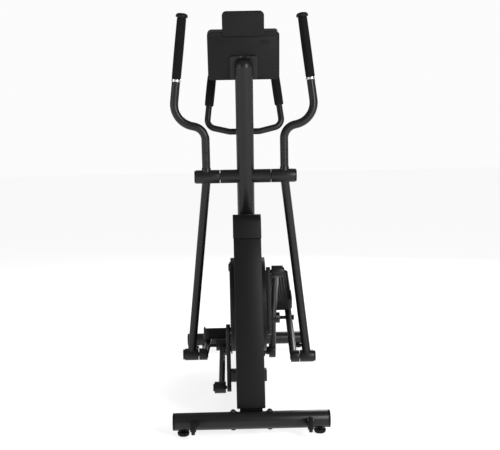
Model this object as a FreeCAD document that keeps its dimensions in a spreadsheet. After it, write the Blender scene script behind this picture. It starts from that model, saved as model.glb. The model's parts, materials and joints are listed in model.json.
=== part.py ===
import FreeCAD, Part
import math
import os

# Elliptical trainer with a front drive and a six-bar pedal linkage on each side.
# +Y points from the front of the machine towards its user, +X to the right seen from the
# front, +Z up. The origin is on the floor under the middle of the box. "left" is the -X side.

V = FreeCAD.Vector
X_AXIS = V(1, 0, 0)
Y_AXIS = V(0, 1, 0)
Z_AXIS = V(0, 0, 1)
SIDES = {"left": -1, "right": 1}
MAGNET_SIDE = -34       # x of the magnet shoe's outer face, over the flywheel's rim

SIZES = [
    # base
    ("base_span", 1420), ("front_bar_long", 528), ("rear_bar_long", 572), ("bar_dia", 60),
    ("bar_wall", 2), ("cap_long", 7), ("foot_dia", 42), ("foot_tall", 19), ("foot_inset", 28.5),
    ("wheel_dia", 54), ("wheel_wide", 12), ("wheel_side", 199), ("wheel_reach", 60),
    ("wheel_level", 47), ("wheel_bore", 8.1), ("tab_thick", 3), ("tab_tall", 30),
    ("spine_wide", 80), ("spine_tall", 40), ("spine_level", 57), ("spine_wall", 2.5),
    ("mid_half", 78), ("mid_back", 700), ("mid_deep", 42), ("mid_tall", 50), ("mid_ground", 8),
    # drive
    ("axle_back", 340), ("axle_level", 300), ("crank_throw", 221), ("crank_shaft_dia", 20),
    ("crank_inner", 70), ("crank_thick", 16), ("crank_wide", 38), ("pulley_dia", 290),
    ("pulley_wide", 18), ("belt_thick", 3), ("flywheel_dia", 200), ("flywheel_wide", 30),
    ("flywheel_back", 300), ("flywheel_level", 552), ("flywheel_shaft_dia", 12),
    ("magnet_pin_dia", 6), ("magnet_drop", 100), ("shoe_gap", 3), ("shoe_thick", 10),
    ("plate_gap", 40.2), ("plate_thick", 4), ("bearing_dia", 42), ("bearing_wide", 12),
    # linkage
    ("swing_back", 350), ("swing_level", 883), ("arm_long", 700), ("bar_reach", 300),
    ("link_long", 562), ("link_along", 400), ("link_rise", 58), ("rocker_back", 870),
    ("rocker_level", 475), ("rocker_long", 366), ("link_near", 91), ("link_far", 134),
    ("link_bush_dia", 44), ("link_tube_dia", 24), ("hub_dia", 60), ("hub_wide", 27),
    ("rocker_inner", 67), ("rocker_thick", 6), ("rocker_wide", 48), ("rocker_shaft_dia", 20),
    ("boss_proud", 4), ("pin_dia", 14), ("fit", 0.06), ("slab_gap", 0.6),
    # swing arms and handles
    ("pivot_tube_dia", 51), ("pivot_tube_half", 95), ("pivot_shaft_dia", 25),
    ("arm_bush_start", 97), ("arm_bush_end", 187), ("arm_side", 147), ("foot_side", 223),
    ("arm_tube_dia", 32), ("arm_socket_dia", 34), ("socket_top", 52), ("bolt_low", 49),
    ("bolt_high", 90), ("bolt_dia", 8), ("handle_dia", 31), ("handle_rise", 180),
    ("handle_out", 268), ("handle_bend_level", 208), ("low_bend", 52), ("high_bend", 82),
    ("handle_top_side", 222), ("handle_top", 592), ("grip_dia", 34), ("grip_long", 230),
    ("grip_cap_dia", 45), ("foot_bush_dia", 46), ("foot_bush_start", 197),
    ("foot_bush_end", 249), ("bar_bush_start", 162), ("bar_bush_end", 194),
    ("foot_pin_dia", 16), ("pedal_tube_dia", 28), ("bar_side", 172),
    # pedals
    ("pedal_inner", 78), ("pedal_outer", 188), ("pedal_long", 345), ("pedal_floor", 12),
    ("toe_wall", 46), ("heel_wall", 16), ("pedal_wall", 6), ("pedal_lift", 26),
    # mast, console and fixed handlebar
    ("mast_dia", 65), ("mast_wall", 2.5), ("mast_lean", 18.6), ("mast_foot", 710),
    ("mast_top", 1309), ("post_wide", 60), ("post_deep", 40), ("console_wide", 260),
    ("console_tall", 177), ("console_deep", 44), ("console_level", 1326),
    ("console_gap", 26.8), ("console_tilt", 20), ("tablet_wide", 150), ("tablet_tall", 90),
    ("tablet_thick", 12), ("bar_tube_dia", 23), ("foam_dia", 33), ("rail_side", 141),
    ("rail_level", 1050), ("rail_top", 1262), ("rail_bend", 34),
    # casing
    ("case_half", 50), ("case_wall", 3), ("bulge_half", 64), ("bulge_dia", 350),
    ("bulge_back", 318), ("bulge_level", 402), ("case_floor", 80), ("hood_drop", 50),
    ("band_half", 49),
]

doc = FreeCAD.newDocument("elliptical_trainer")
sheet = doc.addObject("Spreadsheet::Sheet", "dims")
for row, (alias, value) in enumerate(SIZES, start=1):
    sheet.set(f"A{row}", alias)
    sheet.set(f"B{row}", str(value))
    sheet.setAlias(f"B{row}", alias)
doc.recompute()

nodes = {}


def dim(alias):
    return float(sheet.get(alias))


# Depths are given back from the front stabilizer's centre line.
WHEEL_FRONT = dim("wheel_reach") + dim("wheel_dia") / 2
FRONT_Y = -(dim("base_span") + dim("bar_dia") / 2 + WHEEL_FRONT) / 2 + WHEEL_FRONT


def at(side, back, level):
    """A point from its side offset, depth behind the front stabilizer and height."""
    return V(side, FRONT_Y + back, level)


# ---------------------------------------------------------------- building helpers

def size(thing, prop, value):
    """Bind a property to an expression on the sheet."""
    thing.setExpression(prop, str(value))


def rod(dia, length, start, axis=X_AXIS):
    """A round bar of a diameter and length, from a start point along an axis."""
    bar = doc.addObject("Part::Cylinder", "Rod")
    size(bar, "Radius", f"({dia}) / 2")
    size(bar, "Height", length)
    bar.Placement = FreeCAD.Placement(start, FreeCAD.Rotation(Z_AXIS, axis))
    return bar


def rod_between(dia, start, end):
    """A round bar from one point to another."""
    bar = doc.addObject("Part::Cylinder", "Rod")
    size(bar, "Radius", f"({dia}) / 2")
    bar.Height = start.distanceToPoint(end)
    bar.Placement = FreeCAD.Placement(start, FreeCAD.Rotation(Z_AXIS, end - start))
    return bar


def block(wide, deep, tall, corner):
    """A box from its low corner."""
    box = doc.addObject("Part::Box", "Block")
    size(box, "Length", wide)
    size(box, "Width", deep)
    size(box, "Height", tall)
    box.Placement.Base = corner
    return box


def cut(base, tool):
    result = doc.addObject("Part::Cut", "Cut")
    result.Base = base
    result.Tool = tool
    return result


def fuse(pieces):
    result = doc.addObject("Part::MultiFuse", "Fuse")
    result.Shapes = pieces
    result.Refine = True
    return result


def group(pieces):
    """Separate solids that share one node."""
    result = doc.addObject("Part::Compound", "Group")
    result.Links = pieces
    return result


def ring(outer, inner, length, start, axis=X_AXIS):
    """A round tube: the bore runs 1 mm past both ends of the outer cylinder."""
    direction = V(axis).normalize()
    return cut(rod(outer, length, start, axis), rod(inner, f"({length}) + 2", start - direction, axis))


def tube_between(outer, inner, start, end):
    """An open round tube from one point to another."""
    direction = (end - start).normalize()
    return cut(rod_between(outer, start, end), rod_between(inner, start - direction, end + direction))


def rounded_wire(points, radius, closed=False):
    """Straight runs joined by tangent arcs, of one radius or of one for each bend."""
    count = len(points)
    radii = [radius] * count if isinstance(radius, (int, float)) else [0, *radius, 0]
    turns = range(count) if closed else range(1, count - 1)
    enter = list(points)
    leave = list(points)
    arcs = {}
    for i in turns:
        here = points[i]
        back = (points[i - 1] - here).normalize()
        ahead = (points[(i + 1) % count] - here).normalize()
        half = back.getAngle(ahead) / 2
        reach = radii[i] / math.tan(half)
        inward = (back + ahead).normalize() * (radii[i] / math.sin(half) - radii[i])
        enter[i] = here + back * reach
        leave[i] = here + ahead * reach
        arcs[i] = Part.Arc(enter[i], here + inward, leave[i]).toShape()
    edges = []
    for i in range(count if closed else count - 1):
        if i in arcs:
            edges.append(arcs[i])
        edges.append(Part.LineSegment(leave[i], enter[(i + 1) % count]).toShape())
    return Part.Wire(edges)


def outline(points, radius, side=0.0):
    """A closed outline across the machine's side, from (depth, height) pairs."""
    wire = doc.addObject("Part::Feature", "Outline")
    wire.Shape = rounded_wire([at(side, back, level) for back, level in points], radius, closed=True)
    return wire


def plate(wire, thick, along=1):
    """An outline made a solid, towards +X or -X."""
    solid = doc.addObject("Part::Extrusion", "Plate")
    solid.Base = wire
    solid.Dir = X_AXIS * along
    size(solid, "LengthFwd", thick)
    solid.Solid = True
    return solid


def bent_rod(dia, points, bend):
    """A round bar swept along straight runs and tangent arcs."""
    path = doc.addObject("Part::Feature", "Path")
    path.Shape = rounded_wire(points, bend)
    section = doc.addObject("Part::Circle", "Section")
    size(section, "Radius", f"({dia}) / 2")
    turn = FreeCAD.Rotation(Z_AXIS, points[1] - points[0])
    section.Placement = FreeCAD.Placement(points[0], turn)
    sweep = doc.addObject("Part::Sweep", "Sweep")
    sweep.Sections = [section]
    sweep.Spine = (path, [f"Edge{i + 1}" for i in range(len(path.Shape.Edges))])
    sweep.Solid = True
    return sweep


def bent_tube(outer, inner, points, bend):
    return cut(bent_rod(outer, points, bend), bent_rod(inner, points, bend))


def node(name, thing, place=None):
    """Name a finished sub-part and put it in its place."""
    thing.Label = name
    if place is not None:
        thing.Placement = place
    nodes[name] = thing
    return thing


# ---------------------------------------------------------------- rest state of the linkage

def meet(centre_a, reach_a, centre_b, reach_b, pick):
    """Where two circles in the side plane meet; pick chooses one of the two points."""
    gap = centre_b - centre_a
    along = (reach_a ** 2 - reach_b ** 2 + gap.Length ** 2) / (2 * gap.Length)
    across = math.sqrt(reach_a ** 2 - along ** 2)
    unit = V(gap).normalize()
    normal = V(0, -unit.z, unit.y)
    return pick((centre_a + unit * along + normal * (across * sign) for sign in (1, -1)))


def lowest(points):
    return min(points, key=lambda point: point.z)


def frontmost(points):
    return min(points, key=lambda point: point.y)


AXLE = at(0, dim("axle_back"), dim("axle_level"))
SWING = at(0, dim("swing_back"), dim("swing_level"))
ROCKER = at(0, dim("rocker_back"), dim("rocker_level"))


def linkage(side):
    """The pivots of one side, with the right crank up and the left crank down."""
    pin = AXLE + Z_AXIS * (dim("crank_throw") * SIDES[side])
    hub = meet(pin, dim("link_long"), ROCKER, dim("rocker_long"), lowest)
    line = (hub - pin).normalize()
    rise = V(0, -line.z, line.y)
    knee = pin + line * dim("link_along") + rise * dim("link_rise")
    foot = meet(SWING, dim("arm_long"), knee, dim("bar_reach"), frontmost)
    return {"pin": pin, "hub": hub, "knee": knee, "foot": foot}


def pose(origin, towards, from_axis):
    """Placement at a pivot with one local axis turned, about X, to point at another pivot."""
    way = towards - origin
    turn = math.degrees(math.atan2(way.z, way.y) - math.atan2(from_axis.z, from_axis.y))
    return FreeCAD.Placement(origin, FreeCAD.Rotation(X_AXIS, turn))


PIVOTS = {side: linkage(side) for side in SIDES}


def span(side, near, far):
    """Start x of a piece that reaches from near to far on one side."""
    return near if SIDES[side] > 0 else -far


# ---------------------------------------------------------------- base

def stabilizer(name, long, back):
    half = dim(long) / 2
    start = at(-half, back, dim("foot_tall") + dim("bar_dia") / 2)
    node(name, ring("dims.bar_dia", "dims.bar_dia - 2 * dims.bar_wall", f"dims.{long}", start))


def bar_ends():
    """Both stabilizers' ends as (x of the end face, depth, direction)."""
    ends = []
    for long, back in (("front_bar_long", 0), ("rear_bar_long", dim("base_span"))):
        for way in (-1, 1):
            ends.append((way * dim(long) / 2, back, way))
    return ends


def stabilizer_caps():
    level = dim("foot_tall") + dim("bar_dia") / 2
    caps = []
    for side, back, way in bar_ends():
        caps.append(rod("dims.bar_dia", "dims.cap_long", at(side, back, level), X_AXIS * way))
    node("stabilizer_caps", group(caps))


def levelling_feet():
    """Rubber pads on short studs, with a flat under each stabilizer."""
    feet = []
    for side, back, way in bar_ends():
        centre = side - way * dim("foot_inset")
        pad = rod("dims.foot_dia", "dims.foot_tall * 0.8", at(centre, back, 0), Z_AXIS)
        stud = rod("dims.foot_dia * 0.3", "dims.foot_tall * 0.97", at(centre, back, 0), Z_AXIS)
        feet.append(fuse([pad, stud]))
    node("levelling_feet", group(feet))


def wheel_centre(side):
    return at(SIDES[side] * dim("wheel_side"), -dim("wheel_reach"), dim("wheel_level"))


def transport_wheel(side):
    start = wheel_centre(side) - X_AXIS * (dim("wheel_wide") / 2)
    wheel = ring("dims.wheel_dia", "dims.wheel_bore", "dims.wheel_wide", start)
    node(f"transport_wheel_{side}", wheel)


def wheel_brackets():
    """Steel tabs each side of each wheel, with the axle bolt through them."""
    tab = dim("tab_thick")
    nose = 9
    brackets = []
    for side in SIDES:
        centre = wheel_centre(side)
        bolt_start = centre - X_AXIS * (dim("wheel_wide") / 2 + 1 + tab)
        pieces = [rod("dims.wheel_bore - 0.1", f"dims.wheel_wide + {2 + 2 * tab}", bolt_start)]
        for way in (-1, 1):
            x = centre.x + way * (dim("wheel_wide") / 2 + 1 + tab / 2) - tab / 2
            corner = V(x, centre.y - nose, centre.z - dim("tab_tall") / 2)
            pieces.append(block(tab, f"dims.wheel_reach + {nose}", "dims.tab_tall", corner))
        level = dim("foot_tall") + dim("bar_dia") / 2
        tube = rod("dims.bar_dia", 8 * dim("wheel_wide"), at(centre.x - 4 * dim("wheel_wide"), 0, level))
        brackets.append(cut(fuse(pieces), tube))
    node("wheel_brackets", group(brackets))


def stabilizer_bolts():
    """Carriage bolts down through each stabilizer, with dome nuts on top."""
    bolt_side = 63
    solids = []
    for back in (0, dim("base_span")):
        for way in (-1, 1):
            top = dim("foot_tall") + dim("bar_dia") + 0.2
            washer = rod(20, 2, at(way * bolt_side, back, top), Z_AXIS)
            nut = rod(14, 7, at(way * bolt_side, back, top), Z_AXIS)
            solids.append(fuse([washer, nut]))
    node("stabilizer_bolts", group(solids))


def main_spine():
    """The long box tube between the two stabilizers."""
    low = dim("spine_level") - dim("spine_tall") / 2
    gap = dim("bar_dia") / 2 + 0.1
    long = f"dims.base_span - {2 * gap}"
    outer = block("dims.spine_wide", long, "dims.spine_tall", at(-dim("spine_wide") / 2, gap, low))
    wall = dim("spine_wall")
    inside = at(-dim("spine_wide") / 2 + wall, gap - 1, low + wall)
    inner = block("dims.spine_wide - 2 * dims.spine_wall", f"{long} + 2",
                  "dims.spine_tall - 2 * dims.spine_wall", inside)
    node("main_spine", cut(outer, inner))


def mid_support():
    """The cross foot under the spine, behind the casing."""
    low = dim("spine_level") - dim("spine_tall") / 2
    half = dim("mid_half")
    outer = block("2 * dims.mid_half", "dims.mid_deep", "dims.mid_tall",
                  at(-half, dim("mid_back"), dim("mid_ground")))
    slot = block("dims.spine_wide + 1", "dims.mid_deep + 2", "dims.spine_tall + 1",
                 at(-dim("spine_wide") / 2 - 0.5, dim("mid_back") - 1, low - 0.5))
    node("mid_support", cut(outer, slot))


def rear_upright():
    """The post on the spine that carries the rocker pivots."""
    low = dim("spine_level") + dim("spine_tall") / 2
    deep = 60
    post = block("dims.spine_wide", deep, dim("rocker_level") - low,
                 at(-dim("spine_wide") / 2, dim("rocker_back") - deep / 2, low + 0.1))
    boss_start = at(-dim("rocker_inner") + 3, dim("rocker_back"), dim("rocker_level"))
    boss = rod("dims.rocker_shaft_dia + 24", 2 * dim("rocker_inner") - 6, boss_start)
    bore = rod("dims.rocker_shaft_dia + 0.2", 2 * dim("rocker_inner"), boss_start - X_AXIS * 3)
    node("rear_upright", cut(fuse([post, boss]), bore))


def rocker_face():
    """Side offset of the outer faces of a rocker's two bosses."""
    return dim("rocker_inner") + dim("rocker_thick") + dim("boss_proud")


def rear_pivot_axle():
    reach = rocker_face() + 0.5
    start = at(-reach, dim("rocker_back"), dim("rocker_level"))
    node("rear_pivot_axle", rod("dims.rocker_shaft_dia", 2 * reach, start))


# ---------------------------------------------------------------- drive

def frame_plates():
    """Two steel cheeks on the spine that hold the crank and flywheel bearings."""
    low = dim("spine_level") - dim("spine_tall") / 2 + 4
    top = dim("flywheel_level") + 30
    fore = dim("flywheel_back") - 32
    corners = [(fore - 60, low), (dim("axle_back") + 120, low), (dim("flywheel_back") + 34, top),
               (fore, top)]
    cheeks = []
    for way in (-1, 1):
        side = way * dim("plate_gap")
        cheek = plate(outline(corners, 18, side), "dims.plate_thick", way)
        reach = X_AXIS * (way * 6)
        hole = rod("dims.bearing_dia + 0.1", "dims.plate_thick + 12",
                   AXLE + X_AXIS * side - reach, X_AXIS * way)
        small = rod("dims.flywheel_shaft_dia + 0.1", "dims.plate_thick + 12",
                    at(side, dim("flywheel_back"), dim("flywheel_level")) - reach, X_AXIS * way)
        drilled = cut(cut(cheek, hole), small)
        cheeks.append(fuse([drilled, magnet_pin()]) if way < 0 else drilled)
    node("frame_plates", group(cheeks))


def crank_bearings():
    """Bearing rings pressed into the cheeks; the crank axle runs in them."""
    rings = []
    for way in (-1, 1):
        start = AXLE + X_AXIS * (way * (dim("plate_gap") - 4))
        rings.append(ring("dims.bearing_dia", "dims.crank_shaft_dia + 2 * dims.fit",
                          "dims.bearing_wide", start, X_AXIS * way))
    node("crank_bearings", group(rings))


def crank_axle():
    half = dim("crank_inner")
    node("crank_axle", rod("dims.crank_shaft_dia", "2 * dims.crank_inner", AXLE - X_AXIS * half))


def crank_pulley():
    """Grooved plastic wheel with five lightening holes, clamped on the crank axle."""
    start = AXLE - X_AXIS * (dim("pulley_wide") / 2)
    disc = rod("dims.pulley_dia", "dims.pulley_wide", start)
    holes = [rod("dims.crank_shaft_dia", "dims.pulley_wide + 2", start - X_AXIS)]
    for index in range(5):
        angle = math.radians(72 * index)
        offset = V(0, math.cos(angle), math.sin(angle)) * (dim("pulley_dia") * 0.3)
        holes.append(rod("dims.pulley_dia * 0.2", "dims.pulley_wide + 2", start - X_AXIS + offset))
    node("crank_pulley", cut(disc, fuse(holes)))


def crank_arm(side):
    """A flat forged arm with round ends: axle boss to crank-pin boss."""
    way = SIDES[side]
    near = X_AXIS * (way * dim("crank_inner"))
    boss = rod("dims.crank_wide + 6", "dims.crank_thick", AXLE + near, X_AXIS * way)
    tip = PIVOTS[side]["pin"] + near
    end = rod("dims.crank_wide - 4", "dims.crank_thick", tip, X_AXIS * way)
    half = dim("crank_wide") / 2 - 3
    low = min(AXLE.z, tip.z)
    corner = V(span(side, dim("crank_inner"), dim("crank_inner") + dim("crank_thick")),
               AXLE.y - half, low)
    web = block("dims.crank_thick", 2 * half, "dims.crank_throw", corner)
    node(f"crank_arm_{side}", fuse([boss, end, web]))


def drive_belt():
    """Flat belt round the pulley and the flywheel's sheave, standing 0.4 mm off both."""
    small = 24.4
    large = dim("pulley_dia") / 2 + 0.4
    centre = at(0, dim("flywheel_back"), dim("flywheel_level"))
    gap = centre - AXLE
    way = V(gap).normalize()
    lean = math.acos((large - small) / gap.Length)
    thick = dim("belt_thick")

    def loop(grow):
        points = []
        for base, radius in ((AXLE, large + grow), (centre, small + grow)):
            for sign in (1, -1):
                turned = FreeCAD.Rotation(X_AXIS, math.degrees(lean) * sign).multVec(way)
                points.append(base + turned * radius)
        a_left, a_right, b_left, b_right = points
        far_a = AXLE - way * (large + grow)
        far_b = centre + way * (small + grow)
        edges = [Part.Arc(a_left, far_a, a_right).toShape(),
                 Part.LineSegment(a_right, b_right).toShape(),
                 Part.Arc(b_right, far_b, b_left).toShape(),
                 Part.LineSegment(b_left, a_left).toShape()]
        wire = doc.addObject("Part::Feature", "BeltLoop")
        wire.Shape = Part.Wire(edges)
        wire.Placement.Base = X_AXIS * -(dim("pulley_wide") / 2 - 1)
        return plate(wire, "dims.pulley_wide - 2")

    node("drive_belt", cut(loop(thick), loop(0)))


def flywheel():
    """Cast wheel with a belt sheave on its hub, turning on a fixed axle."""
    centre = at(0, dim("flywheel_back"), dim("flywheel_level"))
    rim_start = centre - X_AXIS * (dim("pulley_wide") / 2 + 3 + dim("flywheel_wide") - 8)
    rim = rod("dims.flywheel_dia", "dims.flywheel_wide - 8", rim_start)
    sheave_start = centre - X_AXIS * (dim("pulley_wide") / 2 + 4)
    sheave = rod(48, dim("pulley_wide") + 6, sheave_start)
    recess = ring("dims.flywheel_dia - 36", 60, 8, rim_start - X_AXIS)
    bore = rod("dims.flywheel_shaft_dia + 2 * dims.fit", 90, centre - X_AXIS * 45)
    node("flywheel", cut(cut(fuse([rim, sheave]), recess), bore))


def flywheel_axle():
    reach = dim("plate_gap") + dim("plate_thick") + 4
    start = at(-reach, dim("flywheel_back"), dim("flywheel_level"))
    node("flywheel_axle", rod("dims.flywheel_shaft_dia", 2 * reach, start))


def magnet_pivot():
    """Where the magnet shoe turns, on the middle of its lower end."""
    reach = dim("flywheel_dia") / 2 + dim("shoe_gap") + dim("shoe_thick") / 2
    back = math.sqrt(reach ** 2 - dim("magnet_drop") ** 2)
    return at(0, dim("flywheel_back") + back, dim("flywheel_level") - dim("magnet_drop"))


def magnet_arm():
    """Curved shoe with magnets behind the flywheel's rim; its lower end turns on a pin."""
    wide = dim("flywheel_wide") / 2 + 1
    centre = at(MAGNET_SIDE, dim("flywheel_back"), dim("flywheel_level"))
    inner = "dims.flywheel_dia + 2 * dims.shoe_gap"
    shoe = ring(f"{inner} + 2 * dims.shoe_thick", inner, wide, centre)
    low = magnet_pivot()
    front = V(-100, low.y - 400, low.z - 200)
    roof = at(-100, dim("flywheel_back") - 200, dim("flywheel_level") + 20)
    sector = cut(cut(shoe, block(200, 400, 600, front)), block(200, 400, 200, roof))
    eye = low + X_AXIS * MAGNET_SIDE
    lug = rod("dims.shoe_thick + 4", wide, eye)
    bore = rod("dims.magnet_pin_dia + 2 * dims.fit", wide + 2, eye - X_AXIS)
    node("magnet_arm", cut(fuse([sector, lug]), bore))


def magnet_pin():
    """Pin from the left cheek through the magnet shoe's eye."""
    start = magnet_pivot() - X_AXIS * dim("plate_gap")
    return rod("dims.magnet_pin_dia", dim("plate_gap") + MAGNET_SIDE + dim("flywheel_wide") / 2 + 3, start)


# ---------------------------------------------------------------- mast

LEAN = math.radians(dim("mast_lean"))
MAST_WAY = V(0, -math.sin(LEAN), math.cos(LEAN))


def mast_point(level):
    """The mast's centre line at a height; it passes just in front of the swing pivot."""
    return SWING + MAST_WAY * ((level - dim("swing_level")) / math.cos(LEAN))


def mast():
    """The leaning round mast with a closed round top, drilled for the pivot tube."""
    foot = mast_point(dim("mast_foot"))
    top = mast_point(dim("mast_top") - dim("mast_dia") / 2)
    outer = rod_between("dims.mast_dia", foot, top)
    dome = doc.addObject("Part::Sphere", "Dome")
    size(dome, "Radius", "dims.mast_dia / 2")
    dome.Placement.Base = top
    inner = rod_between("dims.mast_dia - 2 * dims.mast_wall", foot - MAST_WAY, top)
    side = dim("mast_dia")
    hole = rod("dims.pivot_tube_dia + 0.2", 2 * side, SWING - X_AXIS * side)
    node("mast", cut(cut(fuse([outer, dome]), inner), hole))


def pivot_tube():
    """Cross tube through the mast, bored for the swing arms' axle."""
    start = SWING - X_AXIS * dim("pivot_tube_half")
    node("pivot_tube", ring("dims.pivot_tube_dia", "dims.pivot_shaft_dia + 0.2",
                            "2 * dims.pivot_tube_half", start))


def pivot_axle():
    """Axle through both swing arms, with a cap screw washer at each end."""
    reach = dim("arm_bush_end") + 1
    shaft = rod("dims.pivot_shaft_dia", 2 * reach, SWING - X_AXIS * reach)
    caps = [rod("dims.pivot_tube_dia - 4", 4, SWING + X_AXIS * (way * reach), X_AXIS * way)
            for way in (-1, 1)]
    node("pivot_axle", fuse([shaft] + caps))


def lower_post():
    """Box post from the spine up to the mast's foot, inside the casing."""
    low = at(0, dim("axle_back") + 265, dim("spine_level") + dim("spine_tall") / 2 + 0.1)
    high = mast_point(dim("mast_foot")) - MAST_WAY * 0.2
    way = high - low
    post = block("dims.post_wide", "dims.post_deep", way.Length + 120,
                 V(-dim("post_wide") / 2, -dim("post_deep") / 2, -60))
    post.Placement = FreeCAD.Placement(
        low, FreeCAD.Rotation(Z_AXIS, way)).multiply(post.Placement)
    floor = block(200, 400, 300, V(-100, low.y - 200, low.z - 300))
    roof = block(200, 400, 300, V(-100, high.y - 200, high.z - 14))
    slot = rod("dims.mast_dia + 0.4", 200, mast_point(dim("mast_foot") - 1), MAST_WAY)
    node("lower_post", cut(cut(cut(post, floor), roof), slot))


# ---------------------------------------------------------------- casing

def case_corners(inset=0.0):
    """The casing's side outline: a leaning front, a raised hood and a low tail.

    It runs on below the casing's floor, where the moulding is cut off open.
    """
    low = dim("case_floor") - 60
    crown = dim("mast_foot") + 36 - inset
    return [(18 + inset, low), (650 - inset, low), (650 - inset, 250),
            (470 - inset, crown - 26), (226 + inset, crown), (168 + inset, 560)]


def under_floor():
    """The room below the casing's floor."""
    return block(200, 900, 200, at(-100, -100, dim("case_floor") - 200))


def hood_line():
    """Height where the hood takes over from the two moulded sides."""
    return dim("mast_foot") - dim("hood_drop")


def casing_side(side):
    """One moulded side: a wall and rim with a round raised cover over the drive."""
    way = SIDES[side]
    wall = dim("case_wall")
    rim = plate(outline(case_corners(), 34, way * 0.3), "dims.case_half - 0.3", way)
    room = plate(outline(case_corners(wall), 31, -way), "dims.case_half + 1 - dims.case_wall", way)
    centre = at(0, dim("bulge_back"), dim("bulge_level"))
    face = X_AXIS * (way * (dim("case_half") - 4))
    cover = rod("dims.bulge_dia", "dims.bulge_half - dims.case_half + 4", centre + face, X_AXIS * way)
    trim = plate(outline(case_corners(0.5), 33, 0), "dims.bulge_half + 10", way)
    bulge = doc.addObject("Part::Common", "Bulge")
    bulge.Base = cover
    bulge.Tool = trim
    hollow = doc.addObject("Part::Common", "Hollow")
    hollow.Base = rod("dims.bulge_dia - 2 * dims.case_wall", "dims.bulge_half - dims.case_wall",
                      centre, X_AXIS * way)
    hollow.Tool = plate(outline(case_corners(wall + 0.5), 30, -way), "dims.bulge_half + 10", way)
    axle_hole = rod("dims.crank_shaft_dia + 4", 100, AXLE, X_AXIS * way)
    roof = block(200, 700, 300, at(-100, 0, hood_line()))
    shell = fuse([rim, bulge])
    for away in (room, hollow, axle_hole, roof, under_floor()):
        shell = cut(shell, away)
    node(f"casing_{side}", shell)


def casing_hood():
    """The top cover round the mast's foot."""
    half = dim("case_half") + 1.5
    outer = plate(outline(case_corners(-1.5), 36, -half), 2 * half)
    inner = plate(outline(case_corners(dim("case_wall")), 31, 3 - half), 2 * half - 6)
    below = block(200, 800, 700, at(-100, -100, hood_line() + 0.4 - 700))
    hole = rod("dims.mast_dia + 1", 200, mast_point(dim("mast_foot") - 60), MAST_WAY)
    node("casing_hood", cut(cut(cut(outer, inner), below), hole))


def casing_band():
    """The trim strip that covers the seam of the two sides, down the front."""
    half = dim("band_half")
    outer = plate(outline(case_corners(-3), 37, -half), 2 * half)
    strip = cut(outer, plate(outline(case_corners(-0.3), 34.3, -half - 1), 2 * half + 2))
    behind = block(200, 800, 800, at(-100, 250, 0))
    above = block(200, 800, 300, at(-100, -100, hood_line() - 0.4))
    for away in (behind, above, under_floor()):
        strip = cut(strip, away)
    node("casing_band", strip)


# ---------------------------------------------------------------- swing arms and handles

def mirrored(side, x, y, z):
    return V(SIDES[side] * x, y, z)


def swing_place(side):
    return pose(SWING, PIVOTS[side]["foot"], V(0, 0, -1))


def side_rod(side, dia, length, near, y=0.0, z=0.0):
    """A bar along x from its inner end outwards."""
    return rod(dia, length, mirrored(side, near, y, z), X_AXIS * SIDES[side])


def swing_arm(side):
    """Pivot bush with a handle socket above and the splayed lower tube and its foot bush."""
    bush = side_rod(side, "dims.pivot_tube_dia", "dims.arm_bush_end - dims.arm_bush_start",
                    dim("arm_bush_start"))
    top = dim("socket_top")
    socket = rod_between("dims.arm_socket_dia", mirrored(side, dim("arm_side"), 0, 10),
                         mirrored(side, dim("arm_side"), 0, top - 18))
    spigot = rod_between("dims.handle_dia - 3.4", mirrored(side, dim("arm_side"), 0, 10),
                         mirrored(side, dim("arm_side"), 0, top + 54))
    lower = rod_between("dims.arm_tube_dia", mirrored(side, dim("arm_side"), 0, -10),
                        mirrored(side, dim("foot_side"), 0, 6 - dim("arm_long")))
    foot = side_rod(side, "dims.foot_bush_dia", "dims.foot_bush_end - dims.foot_bush_start",
                    dim("foot_bush_start"), z=-dim("arm_long"))
    pivot_bore = side_rod(side, "dims.pivot_shaft_dia + 2 * dims.fit", 200, 60)
    foot_bore = side_rod(side, "dims.foot_pin_dia + 2 * dims.fit", 200, 120, z=-dim("arm_long"))
    solid = cut(cut(fuse([bush, socket, spigot, lower, foot]), pivot_bore), foot_bore)
    node(f"swing_arm_{side}", solid, swing_place(side))


def handle_points(side):
    """Straight up from the socket, out, then up and in to the top of the grip."""
    return [mirrored(side, dim("arm_side"), 0, dim("socket_top") - 17.8),
            mirrored(side, dim("arm_side"), 0, dim("handle_rise")),
            mirrored(side, dim("handle_out"), 0, dim("handle_bend_level")),
            mirrored(side, dim("handle_top_side"), 24, dim("handle_top"))]


def arm_handle(side):
    tube = bent_tube("dims.handle_dia", "dims.handle_dia - 3", handle_points(side),
                     (dim("low_bend"), dim("high_bend")))
    front = -dim("handle_dia") / 2 - 3
    bolts = [rod("dims.bolt_dia", "dims.handle_dia + 6", mirrored(side, dim("arm_side"), front, z), Y_AXIS)
             for z in (dim("bolt_low"), dim("bolt_high"))]
    node(f"arm_handle_{side}", cut(tube, fuse(bolts)), swing_place(side))


def grip_line(side, back):
    """A point on the grip's axis, a distance down from its top."""
    points = handle_points(side)
    way = (points[-2] - points[-1]).normalize()
    return points[-1] + way * back


def handle_grip(side):
    """Foam sleeve on the top of the handle."""
    sleeve = tube_between("dims.grip_dia", "dims.handle_dia + 0.2", grip_line(side, 6),
                          grip_line(side, dim("grip_long")))
    node(f"handle_grip_{side}", sleeve, swing_place(side))


def grip_trim(side):
    """Bright collar under the foam and the mushroom cap that closes the tube's end."""
    collar = tube_between("dims.grip_dia + 2", "dims.handle_dia + 0.2",
                          grip_line(side, dim("grip_long") + 0.2),
                          grip_line(side, dim("grip_long") + 9))
    way = (grip_line(side, 0) - grip_line(side, 10)).normalize()
    start = grip_line(side, 5.8)
    skirt = rod_between("dims.grip_cap_dia", start, start + way * 12)
    plug = rod_between("dims.handle_dia + 0.3", start - way * 0.5, start + way * 5.9)
    dome = rod_between("dims.grip_cap_dia - 9", start + way * 5, start + way * 16)
    node(f"grip_trim_{side}", group([collar, cut(fuse([skirt, dome]), plug)]), swing_place(side))


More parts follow.
